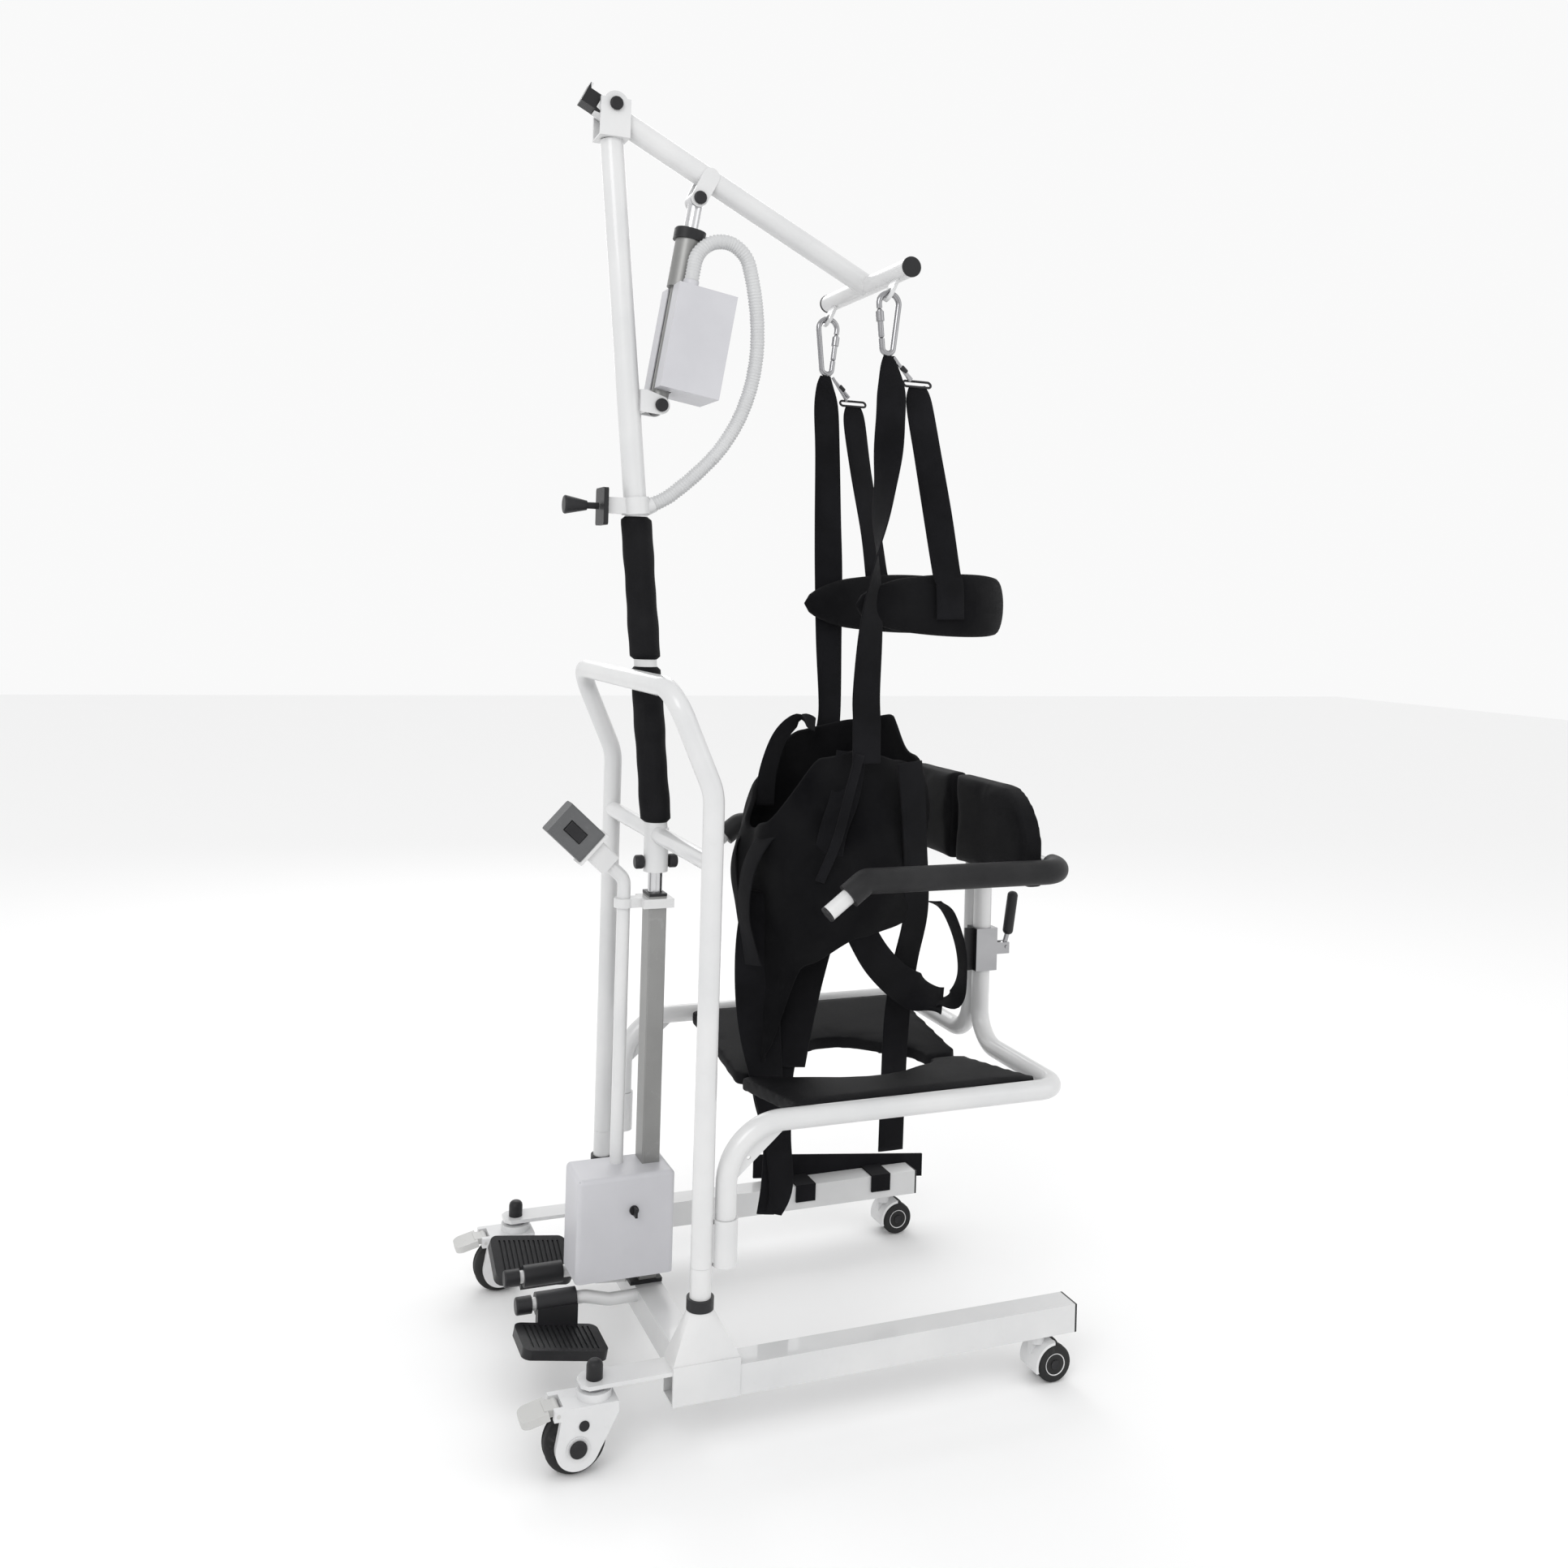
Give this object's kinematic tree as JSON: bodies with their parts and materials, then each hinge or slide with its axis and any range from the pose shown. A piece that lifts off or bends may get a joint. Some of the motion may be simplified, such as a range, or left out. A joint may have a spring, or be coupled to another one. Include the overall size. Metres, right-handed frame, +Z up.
{
  "type": "patient lift hoist",
  "caption": "Wheeled electric patient hoist: square-leg base, telescoping lift frame, leaning mast, powered boom with walking vest, and a split swing-open seat with arms",
  "frame": {"origin": "bottom centre of the bounding box, on the floor", "axes": "+X runs along the legs from the braked front casters to the twin rear casters, +Y to the far side, +Z up"},
  "size_m": [0.9484, 0.637, 2.0769],
  "materials": {
    "white_enamel": "gloss powder coat",
    "steel": "satin machined",
    "anodised": "satin anodised",
    "zinc": "bright plated",
    "black_plastic": "fine grain",
    "grey_plastic": "fine grain",
    "pale_plastic": "satin",
    "rubber": "matt",
    "black_foam": "matt closed-cell foam",
    "upholstery": "matt vinyl",
    "webbing": "woven",
    "mesh": "padded mesh",
    "conduit_grey": "ribbed",
    "board_green": "printed board"
  },
  "bodies": {
    "base": {"base_frame": "white_enamel", "post_sockets": "white_enamel", "base_caps": "black_plastic", "lower_posts": "white_enamel", "column_tube": "anodised", "column_fittings": "black_plastic", "control_cover": "white_enamel", "battery_pack": "grey_plastic", "control_board": "board_green", "handset_stand": "white_enamel", "handset_body": "grey_plastic", "foot_tubes": "white_enamel", "caster_stems": "zinc", "thigh_belt": "webbing"},
    "key": {"key_switch": "zinc"},
    "rocker": {"handset_rocker": "black_plastic"},
    "foot_near": {"footplate_near": "black_plastic"},
    "foot_far": {"footplate_far": "black_plastic"},
    "front_swivel_near": {"front_fork_near": "pale_plastic"},
    "front_swivel_far": {"front_fork_far": "pale_plastic"},
    "front_roll_near": {"front_wheel_near": "rubber"},
    "front_roll_far": {"front_wheel_far": "rubber"},
    "pedal_near": {"brake_pedal_near": "grey_plastic"},
    "pedal_far": {"brake_pedal_far": "grey_plastic"},
    "rear_swivel_near": {"rear_hood_near": "pale_plastic"},
    "rear_swivel_far": {"rear_hood_far": "pale_plastic"},
    "rear_roll_near": {"rear_wheels_near": "rubber"},
    "rear_roll_far": {"rear_wheels_far": "rubber"},
    "lift": {"portal_tube": "white_enamel", "crossbar": "white_enamel", "seat_sleeves": "white_enamel", "lift_rod": "steel", "mast": "white_enamel", "mast_pads": "black_foam", "joystick_mount": "white_enamel", "conduit": "conduit_grey", "pivot_bolts": "zinc"},
    "knobs": {"clamp_knobs": "black_plastic"},
    "stick": {"joystick_stick": "black_plastic"},
    "boom": {"boom_frame": "white_enamel", "boom_caps": "black_plastic"},
    "actuator": {"actuator_tube": "pale_plastic", "motor_box": "white_enamel"},
    "actuator_piston": {"actuator_rod": "steel"},
    "seat_near": {"seat_frame_near": "white_enamel", "seat_pad_near": "upholstery", "arm_foam_near": "black_foam", "back_pad_near": "upholstery", "latch_clamp": "black_plastic"},
    "seat_far": {"seat_frame_far": "white_enamel", "seat_pad_far": "upholstery", "arm_foam_far": "black_foam", "back_pad_far": "upholstery"},
    "latch": {"latch_lever": "black_plastic"},
    "sling": {"carabiners": "zinc", "sling_straps": "webbing", "neck_pad": "mesh", "vest": "mesh"},
    "clip_gate_near": {"gate_near": "zinc"},
    "clip_gate_far": {"gate_far": "zinc"}
  },
  "joints": [
    {"name": "lift", "type": "slide", "parent": "base", "child": "lift", "axis": [0, 0, 1], "range_m": [0, 0.25]},
    {"name": "boom_tilt", "type": "hinge", "parent": "lift", "child": "boom", "pos_m": [-0.31829, 0, 2.044], "axis": [0, -1, 0], "range_deg": [0, 20]},
    {"name": "actuator_swing", "type": "hinge", "parent": "lift", "child": "actuator", "pos_m": [-0.22729, 0, 1.564], "axis": [0, 1, 0], "range_deg": [0, 4.2]},
    {"name": "actuator_stroke", "type": "slide", "parent": "actuator", "child": "actuator_piston", "axis": [0.1616, 0, 0.9868], "range_m": [0, 0.0645]},
    {"name": "sling_hang", "type": "hinge", "parent": "boom", "child": "sling", "pos_m": [0.12933, 0, 1.76477], "axis": [0, 1, 0], "range_deg": [0, 20]},
    {"name": "seat_open_near", "type": "hinge", "parent": "lift", "child": "seat_near", "pos_m": [-0.17229, -0.2875, 0.4], "axis": [0, 0, 1], "range_deg": [-110, 0]},
    {"name": "seat_open_far", "type": "hinge", "parent": "lift", "child": "seat_far", "pos_m": [-0.17229, 0.2875, 0.4], "axis": [0, 0, 1], "range_deg": [0, 110]},
    {"name": "latch_turn", "type": "hinge", "parent": "seat_near", "child": "latch", "pos_m": [0.44871, -0.017, 0.634], "axis": [0, 1, 0], "range_deg": [0, 80]},
    {"name": "clip_open_near", "type": "hinge", "parent": "sling", "child": "clip_gate_near", "pos_m": [0.11714, -0.128, 1.69377], "axis": [0, 1, 0], "range_deg": [0, 20], "stiffness_Nm_per_rad": 0.3, "springref_deg": -11.46},
    {"name": "clip_open_far", "type": "hinge", "parent": "sling", "child": "clip_gate_far", "pos_m": [0.14152, 0.128, 1.69377], "axis": [0, -1, 0], "range_deg": [0, 20], "stiffness_Nm_per_rad": 0.3, "springref_deg": -11.46},
    {"name": "knob_turn", "type": "hinge", "parent": "lift", "child": "knobs", "pos_m": [-0.20829, 0, 0.811], "axis": [1, 0, 0], "continuous": true},
    {"name": "stick_tilt", "type": "hinge", "parent": "lift", "child": "stick", "pos_m": [-0.32229, 0, 1.395], "axis": [0, 1, 0], "range_deg": [-15, 15], "stiffness_Nm_per_rad": 2},
    {"name": "key_turn", "type": "hinge", "parent": "base", "child": "key", "pos_m": [-0.24729, -0.062, 0.262], "axis": [0, 1, 0], "range_deg": [0, 90]},
    {"name": "rocker_press", "type": "hinge", "parent": "base", "child": "rocker", "pos_m": [-0.34978, -0.019, 0.86652], "axis": [0.682, 0, 0.7314], "range_deg": [-5, 5], "stiffness_Nm_per_rad": 1},
    {"name": "foot_fold_near", "type": "hinge", "parent": "base", "child": "foot_near", "pos_m": [-0.36829, -0.048, 0.128], "axis": [-1, 0, 0], "range_deg": [0, 90]},
    {"name": "foot_fold_far", "type": "hinge", "parent": "base", "child": "foot_far", "pos_m": [-0.36829, 0.048, 0.128], "axis": [1, 0, 0], "range_deg": [-25, 65]},
    {"name": "front_swivel_near", "type": "hinge", "parent": "base", "child": "front_swivel_near", "pos_m": [-0.36529, -0.2875, 0.1], "axis": [0, 0, 1], "continuous": true},
    {"name": "front_spin_near", "type": "hinge", "parent": "front_swivel_near", "child": "front_roll_near", "pos_m": [-0.39329, -0.2875, 0.045], "axis": [0, 1, 0], "continuous": true},
    {"name": "brake_press_near", "type": "hinge", "parent": "front_swivel_near", "child": "pedal_near", "pos_m": [-0.42229, -0.2875, 0.095], "axis": [0, -1, 0], "range_deg": [0, 12], "stiffness_Nm_per_rad": 5, "springref_deg": -5.73},
    {"name": "rear_swivel_near", "type": "hinge", "parent": "base", "child": "rear_swivel_near", "pos_m": [0.36971, -0.2875, 0.06], "axis": [0, 0, 1], "continuous": true},
    {"name": "rear_spin_near", "type": "hinge", "parent": "rear_swivel_near", "child": "rear_roll_near", "pos_m": [0.39171, -0.2875, 0.03], "axis": [0, 1, 0], "continuous": true},
    {"name": "front_swivel_far", "type": "hinge", "parent": "base", "child": "front_swivel_far", "pos_m": [-0.36529, 0.2875, 0.1], "axis": [0, 0, 1], "continuous": true},
    {"name": "front_spin_far", "type": "hinge", "parent": "front_swivel_far", "child": "front_roll_far", "pos_m": [-0.39329, 0.2875, 0.045], "axis": [0, 1, 0], "continuous": true},
    {"name": "brake_press_far", "type": "hinge", "parent": "front_swivel_far", "child": "pedal_far", "pos_m": [-0.42229, 0.2875, 0.095], "axis": [0, -1, 0], "range_deg": [0, 12], "stiffness_Nm_per_rad": 5, "springref_deg": -5.73},
    {"name": "rear_swivel_far", "type": "hinge", "parent": "base", "child": "rear_swivel_far", "pos_m": [0.36971, 0.2875, 0.06], "axis": [0, 0, 1], "continuous": true},
    {"name": "rear_spin_far", "type": "hinge", "parent": "rear_swivel_far", "child": "rear_roll_far", "pos_m": [0.39171, 0.2875, 0.03], "axis": [0, 1, 0], "continuous": true}
  ],
  "couplings": [
    {"joint": "actuator_swing", "follows": "boom_tilt", "ratio": 0.2},
    {"joint": "actuator_stroke", "follows": "boom_tilt", "m_per_rad": 0.1835},
    {"joint": "sling_hang", "follows": "boom_tilt", "ratio": 1}
  ]
}
